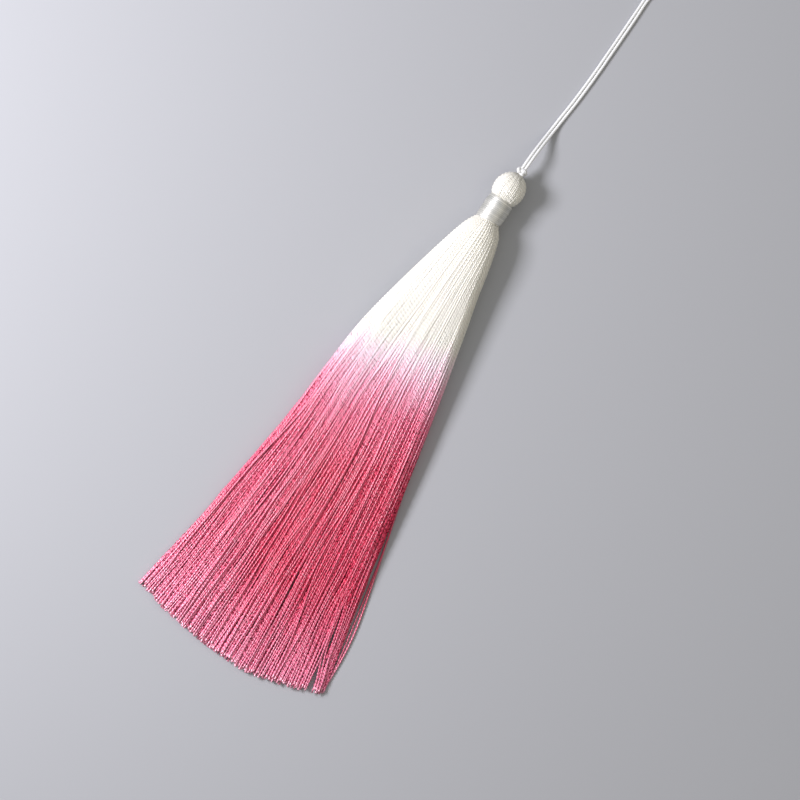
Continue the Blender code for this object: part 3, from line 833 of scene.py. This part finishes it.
rng = np.random.default_rng(INNER_SEED)
x, z = np.concatenate([under_top_lines(rng), middle_lines(rng)], axis=1)
wander = INNER_WANDER * LOOSENESS * waves(rng, len(x), *WANDER_LENGTHS)
x = clumped(x, INNER_GATHER * LOOSENESS) + wander
z = np.maximum(z, INNER_STOUT * LOWEST)
inner, deep = cut(parted(x), z, np.full_like(x, UNDER_TOP_DEPTH), INNER_START, rng)
coarse = (COARSE_RINGS, INNER_BEAD, INNER_STOUT)
skirt_pieces.append(add_threads("fringe_inner_threads", inner, deep, UP, rng, *coarse))

# %% The hank's core
# its depth under the outline, how much deeper its end lies, and how high it stays off the table
CORE_DEPTH, CORE_SINKS, CORE_LOWEST = 0.72, 1.6, 0.3
CORE_START, CORE_TAPERS, CORE_END = -1.0, 26.0, 52.0
CORE_ROWS, CORE_SIDES = 40, 72


def add_core():
    """The outline drawn in by the core's depth, ring by ring, from inside the neck to where the fan opens."""
    stations = np.linspace(CORE_START, CORE_END, CORE_ROWS)
    depth = CORE_DEPTH + CORE_SINKS * ease(STATIONS, CORE_TAPERS, CORE_END)
    lines = on_outline(np.arange(CORE_SIDES) / CORE_SIDES, depth)
    x, z = (read_at(stations, STATIONS, line) for line in lines)
    rings = from_neck(x, -stations, np.maximum(z, CORE_LOWEST)).transpose(1, 0, 2)[None, :, ::-1]
    plain = np.zeros(rings.shape[:3])
    # the core takes the grooves' painted shade and the full painted shade under threads
    even = {"crown": plain, "shelter": plain + 1, "tone": plain + 0.5, "tip": plain + NO_TIP}
    return add_tubes("hank_core", rings, dip=dip_of(rings), **even)


skirt_pieces.append(add_core())
for piece in skirt_pieces:
    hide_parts("skirt")

# %% [markdown]
# ## Colours and nodes
#
# Colours are written as they are seen, in sRGB, and one function turns them to the linear values that a
# shader reckons in. Another adds a node with its settings and links, and a third draws the fine fibres that
# thread, floss and cord have in common.

# %% Helpers for materials


def colour(code):
    """sRGB hex to linear: c / 12.92 below 0.04045, else ((c + 0.055) / 1.055)^2.4."""
    values = np.array([int(code[i : i + 2], 16) for i in (0, 2, 4)]) / 255
    linear = np.where(values <= 0.04045, values / 12.92, ((values + 0.055) / 1.055) ** 2.4)
    return (*linear, 1.0)


def node(tree, kind, inputs=None, **settings):
    """A shader node of this kind. Settings go on the node. Each input takes a value, a socket to link, or a
    node, which stands for its first output."""
    made = tree.nodes.new("ShaderNode" + kind)
    for name, value in settings.items():
        setattr(made, name, value)
    for name, value in (inputs or {}).items():
        if isinstance(value, bpy.types.Node):
            value = value.outputs[0]
        if isinstance(value, bpy.types.NodeSocket):
            tree.links.new(value, made.inputs[name])
        else:
            made.inputs[name].default_value = value
    return made


def new_material(name):
    """An empty material, and node() for its own tree."""
    material = bpy.data.materials.new(name)
    material.use_nodes = True
    material.node_tree.nodes.clear()
    return material, partial(node, material.node_tree)


def fibres(add, place, pitch, height, bump, roughness, detail=2.0):
    """Roughness and bump that follow one noise, with 1 / (2 pitch) grains to the mm."""
    grain = add("TexNoise", {"Vector": place, "Scale": 1000 / (2 * pitch), "Detail": detail})
    least, most = roughness
    return {
        "Roughness": add("MapRange", {"Value": grain, "To Min": least, "To Max": most}),
        "Normal": add("Bump", {"Height": grain, "Strength": bump, "Distance": height * MM}),
    }


# %% [markdown]
# ## Dip-dyed viscose thread
#
# The "silk" of such tassels is viscose: bright filaments spun from wood pulp, twisted in two plies, so it has
# a soft lustre along each bead of the twist. The hank was hung in the dye bath with its top third left out.
# The dye creeps up each thread by its own capillary height, so the border is a soft band with a ragged edge.
# Between threads and in the grooves of the twist, shade is painted into the colour, which is raised to a
# power and deeper, and crowns of the twist get a painted highlight.
# Near the tips the pink is paler, and the frayed cut ends get a paler painted highlight.

# %% Viscose thread
IVORY, TINT, BLUSH, ROSE, PEONY = "F7F4E9", "F8E4EA", "F5B3C8", "EE7E9D", "E45677"
# the depth in mm at which each colour is reached
DYE_STOPS = ((35.0, IVORY), (41.0, TINT), (49.0, BLUSH), (58.0, ROSE), (76.0, PEONY))
# paler pink near the tips and a painted highlight at the cut ends, and how far from the cut each is strongest
# and gone, in mm
TIPS_PALER_AND_HIGHLIT = (("F48EAD", 2.0, 26.0), ("F7AFC2", 0.2, 1.3))
# how far dye creeps up one thread more than another, and how high and wide its blotches are, in mm
DYE_CREEP, DYE_BLOTCH, BLOTCH_SIZE = 7.0, 3.0, 6.25
# painted shade in a groove, as its brightness in ivory and in peony, the share of the dye that makes it so,
# and a crown's painted highlight
GROOVE_SHADE_IVORY, GROOVE_SHADE_PEONY, GROOVE_SHADE_DYED, CROWN_HIGHLIGHT = 0.98, 0.93, 0.8, 1.1
# the power that painted shade under other threads adds to the colour, and what 0 and 1 of crown, tone and
# shelter stand for: painted shade and less shine in the grooves, tone, and painted shade on the shine
PAINTED_SHADE_POWER = 0.30
GROOVE_SHADE_POWER = {"To Min": 1.08, "To Max": 1.0}
GROOVE_SHADE_SHINE = {"To Min": 0.4, "To Max": 1.0}
TONE_VALUE = {"To Min": 0.82, "To Max": 1.16}
PAINTED_SHADE_SHINE = {"To Min": 1.0, "To Max": 0.15}
# real filaments, 0.02 mm thick, don't show, so they are drawn coarser; pitch and height are in mm
THREAD_FIBRES = {"pitch": 0.09, "height": 0.03, "bump": 0.25, "roughness": (0.26, 0.40), "detail": 1.0}
# viscose has 1.53, but filaments side by side reflect from more than one face
THREAD_IOR = 1.80


def viscose(name, dyed):
    """Colour = ivory to peony by dip + creep (tone - 1/2) + blotch, with painted light in the dip, raised to
    a power for painted shade. Crowns of the twist get a painted highlight and more shine, grooves painted
    shade and less shine, and points under other threads painted shade on colour (in dyed thread) and shine."""
    material, add = new_material(name)
    dip, tone, crown, shelter, tip = (
        add("Attribute", attribute_name=label).outputs["Fac"]
        for label in ("dip", "tone", "crown", "shelter", "tip")
    )
    place = add("TexCoord").outputs["Object"]
    # ivory, and the painted shade of its grooves
    base, groove_shade = colour(IVORY), GROOVE_SHADE_IVORY
    if dyed:
        creep = add("Math", {0: tone, 1: 0.5}, operation="SUBTRACT")
        reached = add("Math", {0: creep, 1: DYE_CREEP, 2: dip}, operation="MULTIPLY_ADD")
        blotch = add("TexNoise", {"Vector": place, "Scale": 1000 / BLOTCH_SIZE, "Detail": 2.0})
        reached = add("Math", {0: blotch, 1: DYE_BLOTCH, 2: reached}, operation="MULTIPLY_ADD")
        start, end = DYE_STOPS[0][0], DYE_STOPS[-1][0]
        border = {"From Min": start + DYE_BLOTCH / 2, "From Max": end + DYE_BLOTCH / 2}
        band = add("MapRange", {"Value": reached, **border})
        # painted shade in the grooves, deeper in peony than in ivory
        groove_shades = {"From Max": GROOVE_SHADE_DYED, "To Min": GROOVE_SHADE_IVORY, "To Max": GROOVE_SHADE_PEONY}
        groove_shade = add("MapRange", {"Value": band, **groove_shades})
        base = add("ValToRGB", {"Fac": band})
        stops = base.color_ramp.elements
        while len(stops) < len(DYE_STOPS):
            stops.new(0.5)
        for stop, (depth, code) in zip(stops, DYE_STOPS):
            stop.position, stop.color = (depth - start) / (end - start), colour(code)
        # paler pink near the tips, and a painted highlight on the frayed cut ends
        for code, near, far in TIPS_PALER_AND_HIGHLIT:
            away = add("MapRange", {"Value": tip, "From Min": near, "From Max": far})
            ends = {"A": colour(code), "B": base}
            base = add("Mix", {"Factor": away, **ends}, data_type="RGBA").outputs["Result"]
    # painted shade: the colour is raised to a power in the grooves and, in dyed thread, under other threads
    power = add("MapRange", {"Value": crown, **GROOVE_SHADE_POWER})
    power = add("Math", {0: shelter, 1: PAINTED_SHADE_POWER * dyed, 2: power}, operation="MULTIPLY_ADD")
    base = add("Gamma", {"Color": base, "Gamma": power})
    # painted highlight on the crowns and painted shade in the grooves
    painted_relief_shading = add("MapRange", {"Value": crown, "To Min": groove_shade, "To Max": CROWN_HIGHLIGHT})
    shade = add("MapRange", {"Value": tone, **TONE_VALUE})
    value = add("Math", {0: painted_relief_shading, 1: shade}, operation="MULTIPLY")
    # painted shade on the shine in the grooves
    shine = add("MapRange", {"Value": crown, **GROOVE_SHADE_SHINE})
    # painted shade on the shine under other threads
    shine_outside_shade = add("MapRange", {"Value": shelter, **PAINTED_SHADE_SHINE})
    surface = {
        "Base Color": add("HueSaturation", {"Value": value, "Color": base}),
        **fibres(add, place, **THREAD_FIBRES),
        "IOR": THREAD_IOR,
        "Specular IOR Level": add("Math", {0: shine, 1: shine_outside_shade}, operation="MULTIPLY"),
    }
    add("OutputMaterial", {"Surface": add("BsdfPrincipled", surface)})
    return material


dip_dyed = viscose("dip_dyed_viscose_thread", dyed=True)
undyed = viscose("ivory_viscose_thread", dyed=False)
for piece in skirt_pieces:
    piece.data.materials.append(dip_dyed)
for piece in (head, bead_body):
    piece.data.materials.append(undyed)
print("materials:", dip_dyed.name, undyed.name)

# %% [markdown]
# ## Floss
#
# The binding is viscose filament that was never twisted, drawn tight: the filaments lie so straight and close
# that they mirror the light in a band down the neck and leave its sides a cool grey. Its body is therefore
# greyer than the threads', under a strong gloss, and part metallic, as taut filaments tint what they mirror.

# %% Viscose floss
FLOSS_GREY, FLOSS_WHITE = "CBCBC4", "E9E7DE"
# filaments run round the neck, drawn coarser than the real ones, which don't show
FILAMENTS = {"pitch": 0.05, "height": 0.03, "bump": 0.35, "roughness": (0.46, 0.62)}
FILAMENT_STRETCH = (0.06, 1.0, 0.06)
# painted shade in the grooves between turns: a turn's brightness from groove to crown
TURN_GROOVE_SHADE = {"To Min": 0.78, "To Max": 1.0}
FLOSS_GLOSS = {"IOR": 1.53, "Metallic": 0.72, "Specular IOR Level": 1.0}
FLOSS_GRAIN = {"Anisotropic": 0.35, "Anisotropic Rotation": 0.25}


def floss():
    """Colour = grey to white by each turn's tone, with painted shade in the grooves between turns; fine
    filaments run round the neck as bump.
    """
    material, add = new_material("wound_viscose_floss")
    tone, crown = (add("Attribute", attribute_name=label).outputs["Fac"] for label in ("tone", "crown"))
    place = add("TexCoord").outputs["Object"]
    ends = {"A": colour(FLOSS_GREY), "B": colour(FLOSS_WHITE)}
    body = add("Mix", {"Factor": tone, **ends}, data_type="RGBA").outputs["Result"]
    # painted shade in the grooves between turns
    painted_relief_shading = add("MapRange", {"Value": crown, **TURN_GROOVE_SHADE})
    drawn_out = add("Mapping", {"Vector": place, "Scale": FILAMENT_STRETCH})
    surface = {
        "Base Color": add("HueSaturation", {"Value": painted_relief_shading, "Color": body}),
        "Tangent": add("Tangent", direction_type="UV_MAP", uv_map=BAKE_MAP),
        **fibres(add, drawn_out, **FILAMENTS),
        **FLOSS_GLOSS,
        **FLOSS_GRAIN,
    }
    add("OutputMaterial", {"Surface": add("BsdfPrincipled", surface)})
    return material


binding.data.materials.append(floss())
print("material:", binding.data.materials[0].name)

# %% [markdown]
# ## Cord
#
# The cord is bleached polyester, three fine strands laid together and heat set. It is whiter and smoother
# than the threads, and its grooves are painted as thin grey lines of shade.

# %% Polyester cord
# white, and a grey painted as shade in the grooves between strands
CORD_WHITE, CORD_GROOVE_SHADE = "F2F2F0", "D6D6D3"
CORD_FIBRES = {"pitch": 0.1, "height": 0.02, "bump": 0.2, "roughness": (0.5, 0.7)}
# a little sheen stands for its down
CORD_GLOSS = {"IOR": 1.54, "Sheen Weight": 0.15}


def polyester_cord():
    """Colour = painted groove shade to white by the strands' relief, with a soft gloss."""
    material, add = new_material("heat_set_polyester_cord")
    relief = add("Attribute", attribute_name="relief").outputs["Fac"]
    place = add("TexCoord").outputs["Object"]
    ends = {"A": colour(CORD_GROOVE_SHADE), "B": colour(CORD_WHITE)}
    surface = {
        "Base Color": add("Mix", {"Factor": relief, **ends}, data_type="RGBA").outputs["Result"],
        **fibres(add, place, **CORD_FIBRES),
        **CORD_GLOSS,
    }
    add("OutputMaterial", {"Surface": add("BsdfPrincipled", surface)})
    return material


cord_white = polyester_cord()
for piece in (hanging_cord, knot):
    piece.data.materials.append(cord_white)
print("material:", cord_white.name)

# %% [markdown]
# ## Table and light
#
# White thread shows only against something darker, so the table is a pale grey and not white. One soft light
# stands at the picture's left, and a large warm one on the right and the ceiling of a light tent fill the
# shadows. The tent darkens towards its rim, as if black cards stood there, which gives round white things
# a darker edge.

# %% Table
# matt paper: its grey, and half its side in mm
TABLE_GREY, TABLE_ROUGHNESS = "A8A9AB", 0.85
TABLE_HALF = 1200.0


def add_table():
    """A square of 2.4 m just under the tassel."""
    corners = np.array([(-1, -1, 0), (1, -1, 0), (1, 1, 0), (-1, 1, 0)]) * TABLE_HALF * MM
    mesh = bpy.data.meshes.new("table")
    mesh.from_pydata(corners.tolist(), [], [(0, 1, 2, 3)])
    material, add = new_material("matt_paper")
    paper = {"Base Color": colour(TABLE_GREY), "Roughness": TABLE_ROUGHNESS}
    add("OutputMaterial", {"Surface": add("BsdfPrincipled", paper)})
    mesh.materials.append(material)
    return add_object("table", mesh)


add_table()

# %% Light
SKY, SKY_TOP, SKY_RIM = "F4F5F8", 0.62, 0.16
# the place that the lights face, from the neck's foot in mm
LIT = (0.0, -40.0, 4.0)
# way from there in m (right in the picture, up in it, height), size in m, power in W, colour
SOFTBOXES = {
    "key_softbox": ((-0.325, 0.123, 0.299), 0.14, 2.86, "F5F4FD"),
    "fill_softbox": ((0.70, -0.10, 0.75), 0.60, 1.0, "FFEFC8"),
}


def add_softbox(name, towards, size, power, tint):
    """A square light that faces the tassel's middle from that direction, turned with the picture."""
    data = bpy.data.lights.new(name, "AREA")
    data.size, data.energy, data.color = size, power, colour(tint)[:3]
    light = add_object(name, data)
    way = Matrix.Rotation(CAMERA_TURN, 3, "Z") @ Vector(towards)
    light.location = Vector(from_neck(*LIT) * MM) + way
    light.rotation_euler = (-way).to_track_quat("-Z", "Y").to_euler()


def add_sky():
    """Brightness = rim + (top - rim) x the direction's height, so the tent darkens towards its rim."""
    world = bpy.data.worlds.new("soft_tent")
    world.use_nodes = True
    tree = world.node_tree
    towards = node(tree, "TexCoord").outputs["Generated"]
    height = node(tree, "SeparateXYZ", {"Vector": towards}).outputs["Z"]
    glow = node(tree, "MapRange", {"Value": height, "To Min": SKY_RIM, "To Max": SKY_TOP})
    background = tree.nodes["Background"]
    background.inputs["Color"].default_value = colour(SKY)
    tree.links.new(glow.outputs[0], background.inputs["Strength"])
    bpy.context.scene.world = world


add_sky()
for name, box in SOFTBOXES.items():
    add_softbox(name, *box)
bpy.context.scene.view_settings.view_transform = "Standard"
print("lights:", list(SOFTBOXES))

# %% [markdown]
# ## One body
#
# Every piece rides on the one body.

# %% Ride
for piece in (hanging_cord, knot, head, bead_body, binding, *skirt_pieces):
    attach(piece, "root")
